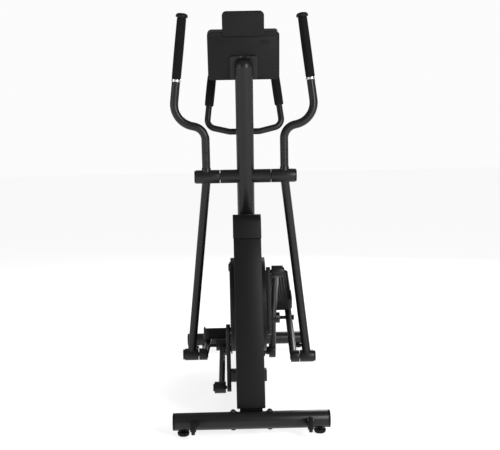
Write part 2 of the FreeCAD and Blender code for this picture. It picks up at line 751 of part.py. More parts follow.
# ---------------------------------------------------------------- pedal bars, links, rockers

def bar_place(side):
    return pose(PIVOTS[side]["foot"], PIVOTS[side]["knee"], V(0, 1, 0))


def pedal_bar(side):
    """Foot bush and the tube that runs back under the pedal."""
    bush = side_rod(side, "dims.foot_bush_dia", "dims.bar_bush_end - dims.bar_bush_start",
                    dim("bar_bush_start"))
    tube = rod_between("dims.pedal_tube_dia", mirrored(side, dim("bar_side"), 18, 0),
                       mirrored(side, dim("bar_side"), dim("bar_reach") + 230, 0))
    saddle_wide = 26
    saddles = []
    for back in (60, 200):
        x = span(side, dim("bar_side") - saddle_wide / 2, dim("bar_side") + saddle_wide / 2)
        saddles.append(block(saddle_wide, 30, "dims.pedal_lift - 0.2", V(x, dim("bar_reach") + back, 0)))
    foot_bore = side_rod(side, "dims.foot_pin_dia + 0.2", 200, 120)
    knee_bore = side_rod(side, "dims.pin_dia + 0.2", 200, 120, y=dim("bar_reach"))
    solid = cut(cut(fuse([bush, tube] + saddles), foot_bore), knee_bore)
    node(f"pedal_bar_{side}", solid, bar_place(side))


def pedal_bar_bolts(side):
    """The foot-joint bolt with its end cap, and the bolt that the link turns on."""
    foot_pin = side_rod(side, "dims.foot_pin_dia", "dims.foot_bush_end - dims.bar_bush_start + 1",
                        dim("bar_bush_start"))
    foot_cap = side_rod(side, "dims.foot_bush_dia - 6", 7, dim("foot_bush_end") + 0.6)
    inner_cap = side_rod(side, "dims.foot_bush_dia - 16", 3, dim("bar_bush_start") - 3.1)
    neck = side_rod(side, "dims.foot_pin_dia", 6, dim("bar_bush_start") - 3)
    knee_pin = side_rod(side, "dims.pin_dia", "dims.bar_side + 18 - dims.link_near",
                        dim("link_near") - 1, y=dim("bar_reach"))
    knee_head = side_rod(side, "dims.pin_dia + 8", 7,
                         dim("bar_side") + dim("pedal_tube_dia") / 2 + 0.5, y=dim("bar_reach"))
    bolts = group([fuse([foot_pin, foot_cap, inner_cap, neck]), fuse([knee_pin, knee_head])])
    node(f"pedal_bar_bolts_{side}", bolts, bar_place(side))


def side_polygon(side, points, near, thick):
    """A polygon in the y-z plane made a solid between two side offsets."""
    corners = [mirrored(side, near, y, z) for y, z in points]
    wire = doc.addObject("Part::Feature", "Polygon")
    wire.Shape = Part.makePolygon(corners + corners[:1])
    return plate(wire, thick, SIDES[side])


def fillet(base, radius, pick):
    """Round the edges of a shape that a test picks."""
    doc.recompute()
    result = doc.addObject("Part::Fillet", "Fillet")
    result.Base = base
    result.Edges = [(index, radius, radius)
                    for index, edge in enumerate(base.Shape.Edges, start=1) if pick(edge)]
    return result


def upright_edge(edge):
    """True for an edge that runs along z."""
    ends = [vertex.Point for vertex in edge.Vertexes]
    return len(ends) == 2 and abs(abs((ends[1] - ends[0]).z) - edge.Length) < 1e-6


def pedal(side):
    """Footplate with a toe wall, side walls that fall away to the heel, and a heel lip."""
    front = dim("bar_reach") + 14
    rear = front + dim("pedal_long")
    low = dim("pedal_lift")
    wide = dim("pedal_outer") - dim("pedal_inner")
    wall = dim("pedal_wall")
    x = span(side, dim("pedal_inner"), dim("pedal_outer"))
    body = fillet(block(wide, dim("pedal_long"), dim("toe_wall"), V(x, front, low)), 24, upright_edge)
    well_corner = V(x + wall, front + wall, low + dim("pedal_floor"))
    well = fillet(block(wide - 2 * wall, dim("pedal_long") - 2 * wall, "dims.toe_wall", well_corner),
                  18, upright_edge)
    tray = cut(body, well)
    heel = low + dim("heel_wall")
    slope = [(front + 70, low + 60), (front + 120, heel + 12), (rear + 5, heel), (rear + 5, low + 60)]
    node(f"pedal_{side}", cut(tray, side_polygon(side, slope, dim("pedal_inner") - 5, wide + 10)),
         bar_place(side))


def link_place(side):
    return pose(PIVOTS[side]["knee"], PIVOTS[side]["pin"], V(0, -1, 0))


def link_ends(side):
    """Crank-pin and hub centres in the link's own frame, whose origin is the knee."""
    place = link_place(side).inverse()
    return place.multVec(PIVOTS[side]["pin"]), place.multVec(PIVOTS[side]["hub"])


def connecting_link(side):
    """Bent link: crank-pin bush, knee bush and rocker hub joined by two tubes.

    A narrow neck on the hub reaches in towards the rocker, inside the pedal's inner edge.
    """
    pin, hub = link_ends(side)
    near = dim("link_near")
    neck = rocker_face() + dim("slab_gap")
    long = "dims.link_far - dims.link_near"
    bushes = [side_rod(side, "dims.link_bush_dia", long, near, pin.y, pin.z),
              side_rod(side, "dims.link_bush_dia", long, near),
              side_rod(side, "dims.hub_dia", "dims.hub_wide", near - 1, hub.y, hub.z),
              side_rod(side, "dims.pin_dia + 20", near - neck, neck, hub.y, hub.z)]
    tube_side = near + dim("link_tube_dia") / 2 + 4
    knee = mirrored(side, tube_side, 0, 0)
    tubes = [rod_between("dims.link_tube_dia", knee, mirrored(side, tube_side, pin.y, pin.z)),
             rod_between("dims.link_tube_dia", knee, mirrored(side, tube_side, hub.y, hub.z))]
    knee_bore = side_rod(side, "dims.pin_dia + 2 * dims.fit", 200, 40)
    pin_bore = side_rod(side, "dims.pin_dia + 0.2", 200, 40, pin.y, pin.z)
    solid = cut(cut(fuse(bushes + tubes), knee_bore), pin_bore)
    node(f"connecting_link_{side}", solid, link_place(side))


def crank_pin(side):
    """Bolt in the link's front bush; it stops just short of the crank arm."""
    pin, hub = link_ends(side)
    start = dim("crank_inner") + dim("crank_thick") + dim("slab_gap")
    shank = side_rod(side, "dims.pin_dia", dim("link_far") + 1 - start, start, pin.y, pin.z)
    head = side_rod(side, "dims.pin_dia + 16", 5, dim("link_far") + 0.3, pin.y, pin.z)
    node(f"crank_pin_{side}", fuse([shank, head]), link_place(side))


def rocker(side):
    """Hanging plate from the rear axle, with a boss that stops short of the link's hub."""
    long = dim("rocker_long")
    near = dim("rocker_inner")
    boss_long = "dims.rocker_thick + dims.boss_proud"
    web = block("dims.rocker_thick", "dims.rocker_wide", "dims.rocker_long",
                V(span(side, near, near + dim("rocker_thick")), -dim("rocker_wide") / 2, -long))
    ends = [side_rod(side, "dims.rocker_wide", "dims.rocker_thick", near, z=-long),
            side_rod(side, "dims.rocker_wide", "dims.rocker_thick", near),
            side_rod(side, "dims.rocker_shaft_dia + 14", boss_long, near),
            side_rod(side, "dims.pin_dia + 16", boss_long, near, z=-long)]
    bore = side_rod(side, "dims.rocker_shaft_dia + 2 * dims.fit", 60, near - 10)
    node(f"rocker_{side}", cut(fuse([web] + ends), bore),
         pose(ROCKER, PIVOTS[side]["hub"], V(0, 0, -1)))


# ---------------------------------------------------------------- console and fixed handlebar

def mast_rear(level):
    """Depth of the mast's rear face at a height."""
    return mast_point(level).y - FRONT_Y + dim("mast_dia") / 2 / math.cos(LEAN)


def console_place():
    level = dim("console_level")
    return FreeCAD.Placement(at(0, mast_rear(level) + dim("console_gap"), level),
                             FreeCAD.Rotation(X_AXIS, dim("console_tilt")))


def along_depth(edge):
    """True for an edge that runs along y."""
    ends = [vertex.Point for vertex in edge.Vertexes]
    return len(ends) == 2 and abs(abs((ends[1] - ends[0]).y) - edge.Length) < 1e-6


def slab(wide, tall, front, back, low, radius):
    """A plate facing y with rounded corners, centred on x."""
    body = block(wide, back - front, tall, V(-wide / 2, front, low))
    return fillet(body, radius, along_depth)


def console_back():
    wide = dim("console_wide")
    tall = dim("console_tall")
    half = dim("console_deep") / 2
    shell = slab(wide, tall, -half, 2, -tall / 2, 16)
    room = slab(wide - 6, tall - 6, 3 - half, 10, 3 - tall / 2, 13)
    node("console_back", cut(shell, room), console_place())


SCREEN = (150, 78)
BUTTON_SPOTS = (-52, 0, 52)


def console_front():
    wide = dim("console_wide")
    tall = dim("console_tall")
    half = dim("console_deep") / 2
    face = slab(wide, tall, 2.2, half, -tall / 2, 16)
    room = slab(wide - 6, tall - 6, 0, half - 4, 3 - tall / 2, 13)
    window = slab(SCREEN[0], SCREEN[1], half - 6, half + 2, -10, 6)
    holes = [rod(22.6, 20, V(x, half - 10, -55), Y_AXIS) for x in BUTTON_SPOTS]
    node("console_front", cut(cut(face, room), fuse([window] + holes)), console_place())


def console_screen():
    half = dim("console_deep") / 2
    node("console_screen", slab(SCREEN[0] - 0.6, SCREEN[1] - 0.6, half - 3.8, half - 1, -9.7, 5.7),
         console_place())


def console_buttons():
    half = dim("console_deep") / 2
    for name, x in zip(("minus", "start", "plus"), BUTTON_SPOTS):
        button = rod(22, 7, V(x, half - 4.5, -55), Y_AXIS)
        node(f"button_{name}", group([button]), console_place())


def tablet_holder():
    half = dim("console_deep") / 2
    low = dim("console_tall") / 2 - 16
    back = -half - 0.2
    plate_body = slab(dim("tablet_wide"), dim("tablet_tall"), back - dim("tablet_thick"), back, low, 16)
    node("tablet_holder", plate_body, console_place())


def console_bracket():
    """Steel pad screwed to the console's back and welded round the mast's top."""
    half = dim("console_deep") / 2
    pad = slab(100, 84, -half - 12, -half - 0.2, -82, 10)
    pad.Placement = console_place()
    tube = rod("dims.mast_dia + 0.4", 400, mast_point(dim("mast_top") - 250), MAST_WAY)
    node("console_bracket", cut(pad, tube))


def rail_points():
    side = dim("rail_side")
    low = dim("rail_level")
    back = mast_rear(low) + dim("bar_tube_dia") / 2 + 1
    half = [at(side - 22, back + 62, dim("rail_top")), at(side, back + 8, low + 20),
            at(side - 85, back, low)]
    other = [V(-point.x, point.y, point.z) for point in reversed(half)]
    return half + other


def fixed_handlebar():
    """Bent tube behind the mast, on a welded pad."""
    points = rail_points()
    tube = bent_tube("dims.bar_tube_dia", "dims.bar_tube_dia - 3", points, dim("rail_bend"))
    mast_back = mast_point(dim("rail_level"))
    pad = block(44, "dims.mast_dia * 0.62", 30, V(-22, mast_back.y, mast_back.z - 15))
    clear = rod("dims.mast_dia + 0.2", 200, mast_point(dim("rail_level") - 90), MAST_WAY)
    bore = rod_between("dims.bar_tube_dia - 2", points[2], points[3])
    node("fixed_handlebar", fuse([tube, cut(cut(pad, clear), bore)]))


def foam_grips():
    points = rail_points()
    grips = []
    for top, bottom in ((points[0], points[1]), (points[-1], points[-2])):
        way = (bottom - top).normalize()
        grips.append(tube_between("dims.foam_dia", "dims.bar_tube_dia + 0.3", top - way * 2,
                                  top + way * 118))
    node("foam_grips", group(grips))


# ---------------------------------------------------------------- assembly

def build():
    stabilizer("front_stabilizer", "front_bar_long", 0)
    stabilizer("rear_stabilizer", "rear_bar_long", dim("base_span"))
    for piece in (stabilizer_caps, levelling_feet, wheel_brackets, stabilizer_bolts, main_spine,
                  mid_support, rear_upright, rear_pivot_axle, frame_plates, crank_bearings,
                  crank_axle, crank_pulley, drive_belt, flywheel, flywheel_axle, magnet_arm,
                  mast, pivot_tube, pivot_axle, lower_post, casing_hood, casing_band,
                  console_back, console_front, console_screen, console_buttons, tablet_holder,
                  console_bracket, fixed_handlebar, foam_grips):
        piece()
    for side in SIDES:
        for piece in (transport_wheel, crank_arm, casing_side, swing_arm, arm_handle, handle_grip,
                      grip_trim, pedal_bar, pedal_bar_bolts, pedal, connecting_link,
                      crank_pin, rocker):
            piece(side)


def check():
    """Stop on a failed feature or a bad solid."""
    doc.recompute()
    for thing in doc.Objects:
        if "Invalid" in thing.State or "Error" in thing.State:
            raise RuntimeError(f"{thing.Name} ({thing.Label}) failed: {thing.State}")
    for name, thing in nodes.items():
        if thing.Shape.isNull() or not thing.Shape.isValid() or not thing.Shape.Solids:
            raise RuntimeError(f"{name} has no valid solid")


def export():
    os.makedirs("parts", exist_ok=True)
    for name, thing in nodes.items():
        thing.Shape.exportStep(f"parts/{name}.step")
        box = thing.Shape.BoundBox
        print(f"{name}: {len(thing.Shape.Solids)} solid(s), x {box.XMin:.1f}..{box.XMax:.1f}, "
              f"y {box.YMin:.1f}..{box.YMax:.1f}, z {box.ZMin:.1f}..{box.ZMax:.1f}")
    print(len(nodes), "nodes")


build()
check()
export()
for side_name, pivots in PIVOTS.items():
    print(side_name, {key: tuple(round(value, 3) for value in point) for key, point in pivots.items()})
print("swing", SWING, "rocker", ROCKER, "axle", AXLE, "front", FRONT_Y)
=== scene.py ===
# %% [markdown]
# # An elliptical trainer in black steel, plastic and foam
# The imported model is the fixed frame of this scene. Its nodes already have the right place and
# size, so each cell here either gives a node a better finish or makes a finer piece that stands
# for it. Everything is in metres, +Z up, with the user on the +Y side.

# %% Load the frame
import json
import math

import bpy
import numpy as np
from mathutils import Matrix, Vector


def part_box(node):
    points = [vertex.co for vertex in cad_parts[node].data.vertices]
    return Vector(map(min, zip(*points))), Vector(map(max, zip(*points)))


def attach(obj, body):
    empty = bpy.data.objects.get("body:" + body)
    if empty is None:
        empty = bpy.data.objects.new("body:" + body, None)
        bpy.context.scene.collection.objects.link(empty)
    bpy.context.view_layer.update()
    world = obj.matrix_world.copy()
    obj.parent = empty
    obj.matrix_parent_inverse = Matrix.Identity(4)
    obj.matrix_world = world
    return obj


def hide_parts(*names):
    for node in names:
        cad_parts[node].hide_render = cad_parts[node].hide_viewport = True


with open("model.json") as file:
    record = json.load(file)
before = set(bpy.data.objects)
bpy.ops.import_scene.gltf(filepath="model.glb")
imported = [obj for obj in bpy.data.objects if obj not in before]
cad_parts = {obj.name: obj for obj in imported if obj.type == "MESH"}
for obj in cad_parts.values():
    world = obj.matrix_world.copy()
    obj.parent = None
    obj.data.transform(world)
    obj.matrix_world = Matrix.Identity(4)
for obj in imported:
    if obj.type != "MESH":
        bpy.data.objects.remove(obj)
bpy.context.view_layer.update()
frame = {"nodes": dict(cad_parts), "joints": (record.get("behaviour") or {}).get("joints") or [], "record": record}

NODES = frame["nodes"]
BODY_OF = {node: body for body, members in frame["record"]["behaviour"]["bodies"].items()
           for node in members}
PIVOTS = {joint["name"]: Vector(joint["pos_m"]) for joint in frame["joints"] if "pos_m" in joint}
SIDES = {"left": -1, "right": 1}

# %% [markdown]
# ## The camera first
# The machine is seen from its front with a long lens at chest height, tipped a few degrees down.
# The machine stands almost square to it, and the picture is held about a degree off level.

# %% Camera
CAMERA_BACK = 3.07      # metres in front of the front stabilizer
CAMERA_SIDE = -0.040    # and a little to the left
CAMERA_HEIGHT = 0.952
CAMERA_YAW = -0.89      # degrees
CAMERA_DOWN = 4.25
CAMERA_ROLL = -1.13
front_tube = [sum(pair) / 2 for pair in zip(*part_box("front_stabilizer"))]
bpy.ops.object.camera_add(location=(CAMERA_SIDE, front_tube[1] - CAMERA_BACK, CAMERA_HEIGHT))
camera = bpy.context.object
camera.rotation_euler = (Matrix.Rotation(math.radians(CAMERA_YAW), 3, "Z")
                         @ Matrix.Rotation(math.radians(90 - CAMERA_DOWN), 3, "X")
                         @ Matrix.Rotation(math.radians(CAMERA_ROLL), 3, "Z")).to_euler()
camera.data.lens = 65.3
camera.data.sensor_width = 36
camera.data.clip_end = 60
bpy.context.scene.camera = camera

# %% [markdown]
# ## A small kit for shader maths
# Procedural finishes are sums and products of noise. Wrapping a socket in a class lets those be
# written as Python expressions, and each operator adds the Math node that does it.


# %% Shader kit
class Sock:
    """A socket that can be added and multiplied."""

    def __init__(self, paint, link):
        self.paint = paint
        self.link = link

    def _maths(self, operation, first, second):
        return self.paint.add("ShaderNodeMath", {"operation": operation}, {0: first, 1: second})[0]

    def __add__(self, other):
        return self._maths("ADD", self, other)

    def __mul__(self, other):
        return self._maths("MULTIPLY", self, other)

    __radd__ = __add__
    __rmul__ = __mul__


class Paint:
    """One material's node tree."""

    def __init__(self, name):
        self.material = bpy.data.materials.new(name)
        self.material.use_nodes = True
        self.tree = self.material.node_tree
        self.shader = self.tree.nodes["Principled BSDF"]
        place = self.tree.nodes.new("ShaderNodeTexCoord")
        self.place = Sock(self, place.outputs["Object"])

    def add(self, kind, settings, values):
        """Add a node: its settings first, then the values or links of its sockets."""
        node = self.tree.nodes.new(kind)
        for key, value in settings.items():
            if key == "stops":
                self._stops(node.color_ramp, value)
            else:
                setattr(node, key, value)
        for key, value in values.items():
            if isinstance(value, Sock):
                self.tree.links.new(value.link, node.inputs[key])
            else:
                node.inputs[key].default_value = value
        return [Sock(self, output) for output in node.outputs]

    def _stops(self, ramp, stops):
        for index, (position, tone) in enumerate(stops):
            if index >= len(ramp.elements):
                ramp.elements.new(position)
            ramp.elements[index].position = position
            ramp.elements[index].color = (tone, tone, tone, 1)

    def noise(self, scale, detail=3.0, roughness=0.5):
        values = {"Vector": self.place, "Scale": scale, "Detail": detail, "Roughness": roughness}
        return self.add("ShaderNodeTexNoise", {}, values)[0]

    def ramp(self, source, stops):
        return self.add("ShaderNodeValToRGB", {"stops": stops}, {"Fac": source})[0]

    def mix(self, factor, first, second):
        """Blend two colours by a factor."""
        values = {0: factor, 6: first, 7: second}
        return self.add("ShaderNodeMix", {"data_type": "RGBA"}, values)[2]

    def bump(self, height, strength, distance):
        values = {"Height": height, "Strength": strength, "Distance": distance}
        return self.add("ShaderNodeBump", {}, values)[0]

    def feed(self, **sockets):
        """Set the shader's own sockets; underscores stand for spaces."""
        for key, value in sockets.items():
            target = self.shader.inputs[key.replace("_", " ")]
            if isinstance(value, Sock):
                self.tree.links.new(value.link, target)
            else:
                target.default_value = value
        return self.material


def tone(value, warm=0.0):
    """A near-neutral colour, slightly warm or cool."""
    return (value * (1 + warm), value, value * (1 - warm), 1)


# %% [markdown]
# ## Powder-coated steel
# The tubes are satin black powder coat: a thin plastic skin with a very fine orange-peel ripple,
# so its highlights are broad and slightly broken. Fine bump does the peel, a slower noise varies
# the roughness, and a few dusty patches lift the black.


# %% Powder coat
def powder_coat(name, base, rough):
    paint = Paint(name)
    peel = paint.noise(900, 2)
    drift = paint.noise(6, 3)
    dust = paint.ramp(paint.noise(22, 6, 0.62), [(0.52, 0), (0.8, 1)])
    colour = paint.mix(dust * 0.35, tone(base, -0.03), tone(base * 2.1, 0.02))
    surface = paint.bump(peel, 0.12, 0.0004)
    return paint.feed(Base_Color=colour, Roughness=drift * 0.10 + dust * 0.05 + rough,
                      Normal=surface, Specular_IOR_Level=0.34)


FRAME_PAINT = powder_coat("satin_black_frame", 0.0075, 0.30)
ARM_PAINT = powder_coat("satin_black_arms", 0.0085, 0.28)

# %% [markdown]
# ## Moulded plastic
# The casing, console and caps are black plastic from a spark-eroded mould, with a fine leathery
# grain that scatters the light. The pedals are the same plastic, scuffed by shoes.


# %% Plastics
def grained_plastic(name, base, rough, grain, scuffs):
    paint = Paint(name)
    cells = paint.add("ShaderNodeTexVoronoi", {}, {"Vector": paint.place, "Scale": grain})[0]
    fine = paint.noise(grain * 0.4, 4)
    wear = paint.ramp(paint.noise(14, 8, 0.7), [(0.55, 0), (0.72, 1)])
    colour = paint.mix(wear * scuffs, tone(base), tone(base * 3.2, 0.02))
    surface = paint.bump(cells * 0.6 + fine * 0.4, 0.22, 0.0004)
    return paint.feed(Base_Color=colour, Roughness=fine * 0.14 + wear * (scuffs * 0.2) + rough,
                      Normal=surface, Specular_IOR_Level=0.2)


CASE_PLASTIC = grained_plastic("grained_case_plastic", 0.0055, 0.36, 950, 0.12)
PEDAL_PLASTIC = grained_plastic("scuffed_pedal_plastic", 0.007, 0.46, 700, 0.45)
CAP_PLASTIC = grained_plastic("cap_plastic", 0.006, 0.42, 1200, 0.1)
KEY_RUBBER = grained_plastic("grey_key_rubber", 0.10, 0.6, 1500, 0.1)


# %% [markdown]
# ## Foam and rubber
# The sleeves are closed-cell foam: dull, with pores of about half a millimetre. The feet, tyres
# and belt are denser, smoother rubber.


# %% Foam and rubber
def porous(name, base, rough, pore, depth):
    paint = Paint(name)
    cells = paint.add("ShaderNodeTexVoronoi", {}, {"Vector": paint.place, "Scale": pore})[0]
    speckle = paint.noise(pore * 0.7, 5, 0.7)
    colour = paint.mix(speckle, tone(base * 0.7), tone(base * 1.6))
    surface = paint.bump(cells * 0.7 + speckle * 0.5, depth, 0.0006)
    return paint.feed(Base_Color=colour, Roughness=speckle * 0.1 + rough, Normal=surface,
                      Specular_IOR_Level=0.12)


FOAM = porous("closed_cell_foam", 0.006, 0.72, 900, 0.5)
RUBBER = porous("dense_rubber", 0.008, 0.5, 500, 0.18)


# %% [markdown]
# ## Bare metals
# The collars under the grips are plated, bolts and axles are blackened steel, and the flywheel is
# turned iron. All show fine scratches, which a noise gives in roughness and in a faint bump.


# %% Metals
def metal(name, base, rough, scratch):
    paint = Paint(name)
    lines = paint.noise(scratch, 6, 0.7)
    stain = paint.ramp(paint.noise(30, 5), [(0.45, 0), (0.75, 1)])
    colour = paint.mix(stain * 0.4, tone(base), tone(base * 0.6, 0.04))
    return paint.feed(Base_Color=colour, Metallic=1.0, Roughness=lines * 0.2 + rough,
                      Normal=paint.bump(lines, 0.08, 0.0002))


DARK_STEEL = metal("blackened_steel", 0.05, 0.32, 400)
BRIGHT_STEEL = metal("polished_collar", 0.82, 0.10, 600)
CAST_IRON = metal("turned_iron", 0.16, 0.35, 250)


def display_glass():
    paint = Paint("display_glass")
    film = paint.noise(40, 4)
    return paint.feed(Base_Color=tone(0.012, -0.2), Roughness=film * 0.05 + 0.06,
                      Specular_IOR_Level=0.6, Coat_Weight=0.6, Coat_Roughness=0.04)


def display_segments():
    paint = Paint("display_segments")
    glow = paint.ramp(paint.noise(300, 2), [(0.2, 0.75), (0.8, 1.0)])
    return paint.feed(Base_Color=paint.mix(glow, tone(0.2, -0.3), tone(0.42, -0.25)), Roughness=0.5)


DISPLAY = display_glass()
SEGMENTS = display_segments()

SLOT_FINISH = {
    "frame_paint": FRAME_PAINT, "arm_paint": ARM_PAINT, "case_plastic": CASE_PLASTIC,
    "pedal_plastic": PEDAL_PLASTIC, "foam": FOAM, "trim": CAP_PLASTIC,
    "bright_steel": DARK_STEEL, "cast_wheel": CAST_IRON, "rubber": RUBBER, "screen": DISPLAY,
    "keys": KEY_RUBBER,
}
SLOT_OF = {part["node"]: part["material_slot"] for part in frame["record"]["subparts"]}

# %% [markdown]
# ## Finishes on the frame's own nodes
# A node whose shape is right stays as it is and only changes its material.

# %% Dress the nodes
for node_name, thing in NODES.items():
    thing.data.materials.clear()
    thing.data.materials.append(SLOT_FINISH[SLOT_OF[node_name]])
print("dressed", len(NODES), "nodes")


# %% [markdown]
# ## Helpers for finer pieces
# `turned` makes round pieces as on a lathe, one extrude and resize at a time. `eased` copies a
# node, merges its loose triangles and rounds its hard edges, because a real moulding or a sawn
# tube never has a perfectly sharp edge, and the rounded edge is what catches the light.


# %% Modelling helpers
MERGE_GAP = 0.00002     # metres between points that a copied node's triangles share
FLAT_ANGLE = 0.6        # degrees under which neighbouring triangles count as one flat face
HARD_ANGLE = 30         # degrees from which an edge is rounded


def only(thing):
    bpy.ops.object.select_all(action="DESELECT")
    thing.select_set(True)
    bpy.context.view_layer.objects.active = thing


def smooth(thing, angle=35):
    only(thing)
    bpy.ops.object.shade_smooth_by_angle(angle=math.radians(angle))


def finish_piece(thing, name, material, body):
    """Name a new piece, paint it and hang it on its body."""
    thing.name = name
    thing.data.materials.clear()
    thing.data.materials.append(material)
    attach(thing, body)
    return thing


def turned(profile, start, way, sides=40):
    """A closed round piece from (distance along, radius) pairs, its axis along `way`."""
    bpy.ops.object.select_all(action="DESELECT")
    bpy.ops.mesh.primitive_circle_add(vertices=sides, radius=profile[0][1], fill_type="NGON")
    piece = bpy.context.object
    bpy.ops.object.mode_set(mode="EDIT")
    bpy.ops.mesh.select_all(action="SELECT")
    for (low, before), (high, after) in zip(profile, profile[1:]):
        bpy.ops.mesh.extrude_region_move(TRANSFORM_OT_translate={"value": (0, 0, high - low)})
        grow = after / before
        bpy.ops.transform.resize(value=(grow, grow, 1), center_override=(0, 0, high - profile[0][0]))
    bpy.ops.mesh.select_all(action="SELECT")
    bpy.ops.mesh.normals_make_consistent(inside=False)
    bpy.ops.object.mode_set(mode="OBJECT")
    turn = Vector((0, 0, 1)).rotation_difference(Vector(way)).to_matrix().to_4x4()
    begin = Vector(start) + Vector(way).normalized() * profile[0][0]
    piece.data.transform(Matrix.Translation(begin) @ turn)
    smooth(piece)
    return piece


def rounded_plate(size, centre, corner, rim, matrix):
    """A plate that faces y, with round corners and a softened rim, placed by a matrix."""
    bpy.ops.object.select_all(action="DESELECT")
    bpy.ops.mesh.primitive_cube_add(size=1)
    piece = bpy.context.object
    piece.data.transform(Matrix.Diagonal((*size, 1)))
    bpy.ops.object.mode_set(mode="EDIT")
    bpy.ops.mesh.select_mode(type="EDGE")
    bpy.ops.mesh.select_all(action="DESELECT")
    bpy.ops.object.mode_set(mode="OBJECT")
    for edge in piece.data.edges:
        one, other = (piece.data.vertices[index].co for index in edge.vertices)
        edge.select = abs(one.y - other.y) > size[1] / 2
    bpy.ops.object.mode_set(mode="EDIT")
    bpy.ops.mesh.bevel(offset=corner, segments=4)
    bpy.ops.object.mode_set(mode="OBJECT")
    edges = piece.modifiers.new("rim", "BEVEL")
    edges.width = rim
    edges.segments = 2
    edges.limit_method = "ANGLE"
    edges.angle_limit = math.radians(50)
    only(piece)
    bpy.ops.object.modifier_apply(modifier=edges.name)
    piece.data.transform(matrix @ Matrix.Translation(centre))
    smooth(piece)
    return piece


def eased(node, width, segments):
    """A copy of a node with its hard edges rounded, which stands for the node."""
    piece = NODES[node].copy()
    piece.data = NODES[node].data.copy()
    piece.parent = None
    bpy.context.collection.objects.link(piece)
    only(piece)
    bpy.ops.object.mode_set(mode="EDIT")
    bpy.ops.mesh.select_all(action="SELECT")
    bpy.ops.mesh.remove_doubles(threshold=MERGE_GAP)
    bpy.ops.mesh.dissolve_limited(angle_limit=math.radians(FLAT_ANGLE))
    bpy.ops.object.mode_set(mode="OBJECT")
    bevel = piece.modifiers.new("edges", "BEVEL")
    bevel.width = width
    bevel.segments = segments
    bevel.limit_method = "ANGLE"
    bevel.angle_limit = math.radians(HARD_ANGLE)
    bevel.use_clamp_overlap = True
    bpy.ops.object.modifier_apply(modifier=bevel.name)
    smooth(piece, 40)
    finish_piece(piece, f"{node}_eased", SLOT_FINISH[SLOT_OF[node]], BODY_OF[node])
    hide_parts(node)


def join_as_one(pieces):
    """Join several meshes into the first one."""
    bpy.ops.object.select_all(action="DESELECT")
    for piece in pieces:
        piece.select_set(True)
    bpy.context.view_layer.objects.active = pieces[0]
    bpy.ops.object.join()
    return bpy.context.object


def long_axis(node):
    """Middle, unit axis and half length of a long straight node, read from its vertices."""
    points = np.array([vertex.co for vertex in NODES[node].data.vertices])
    middle = (points.max(axis=0) + points.min(axis=0)) / 2
    spread = np.linalg.eigh(np.cov((points - points.mean(axis=0)).T))[1][:, -1]
    axis = Vector(spread if spread[2] > 0 else -spread)
    along = (points - middle) @ np.array(axis)
    return Vector(middle), axis, (along.max() - along.min()) / 2


# %% [markdown]
# ## Rounding the frame's tubes, plates and mouldings
# Each is a moment's work with the helper: sawn tube ends get a small radius, forged arms a larger
# one, and mouldings the soft edge of an injection mould.

# %% Eased edges
EASED = {
    "front_stabilizer": 0.0006, "rear_stabilizer": 0.0006, "main_spine": 0.003,
    "mid_support": 0.004, "rear_upright": 0.003, "crank_arm_left": 0.003,
    "crank_arm_right": 0.003, "rocker_left": 0.0012, "rocker_right": 0.0012,
    "stabilizer_caps": 0.0025, "casing_left": 0.004, "casing_right": 0.004,
    "casing_hood": 0.005, "casing_band": 0.0014, "console_back": 0.006, "console_front": 0.005,
    "tablet_holder": 0.0035, "console_bracket": 0.003, "pivot_axle": 0.0015,
    "pedal_bar_bolts_left": 0.0018, "pedal_bar_bolts_right": 0.0018, "crank_pin_left": 0.0016,
    "crank_pin_right": 0.0016, "swing_arm_left": 0.0008, "swing_arm_right": 0.0008,
    "connecting_link_left": 0.0008, "connecting_link_right": 0.0008, "pedal_bar_left": 0.0008,
    "pedal_bar_right": 0.0008, "pedal_left": 0.003, "pedal_right": 0.003,
    "button_minus": 0.0015, "button_start": 0.0015, "button_plus": 0.0015,
    "transport_wheel_left": 0.003, "transport_wheel_right": 0.003, "wheel_brackets": 0.0008,
    "console_screen": 0.0006,
}
SOFT_EDGE = 0.002       # an edge wider than this takes three facets, and a finer one two
for node_name, edge in EASED.items():
    eased(node_name, edge, segments=3 if edge > SOFT_EDGE else 2)
print("eased", len(EASED), "nodes")


# %% [markdown]
# ## Foam sleeves
# A foam sleeve is stretched over its tube, so it swells slightly between its ends and its rims
# curl in. It is turned from a profile with rounded rims and a shallow swell.


# %% Foam sleeves
HANDLE_FOAM = 0.0172    # radius of the foam on the moving handles
FIXED_FOAM = 0.0166     # and on the fixed handlebar
FOAM_RIM = 0.004
FOAM_SWELL = 0.0006


def foam_sleeve(name, start, end, radius, body, node=None):
    way = end - start
    long = way.length
    profile = [(0, radius - FOAM_RIM)]
    for step in (35, 70):
        angle = math.radians(step)
        profile.append((FOAM_RIM * (1 - math.cos(angle)), radius - FOAM_RIM * (1 - math.sin(angle))))
    for share in (0.03, 0.15, 0.35, 0.5, 0.65, 0.85, 0.97):
        profile.append((long * share, radius + FOAM_SWELL * math.sin(math.pi * share)))
    profile += [(long - along, wide) for along, wide in reversed(profile[:3])]
    sleeve = turned(profile, start, way, 48)
    finish_piece(sleeve, name, FOAM, body)
    if node:
        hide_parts(node)
    return sleeve


for side in SIDES:
    grip = f"handle_grip_{side}"
    middle, axis, half = long_axis(grip)
    foam_sleeve(f"handle_sleeve_{side}", middle - axis * half, middle + axis * half, HANDLE_FOAM,
                BODY_OF[grip], grip)
print("handle sleeve length:", round(2 * half, 3))


# %% [markdown]
# ## Collars and mushroom caps
# A bright collar stops each sleeve at its foot, and a soft plastic mushroom cap closes the top.


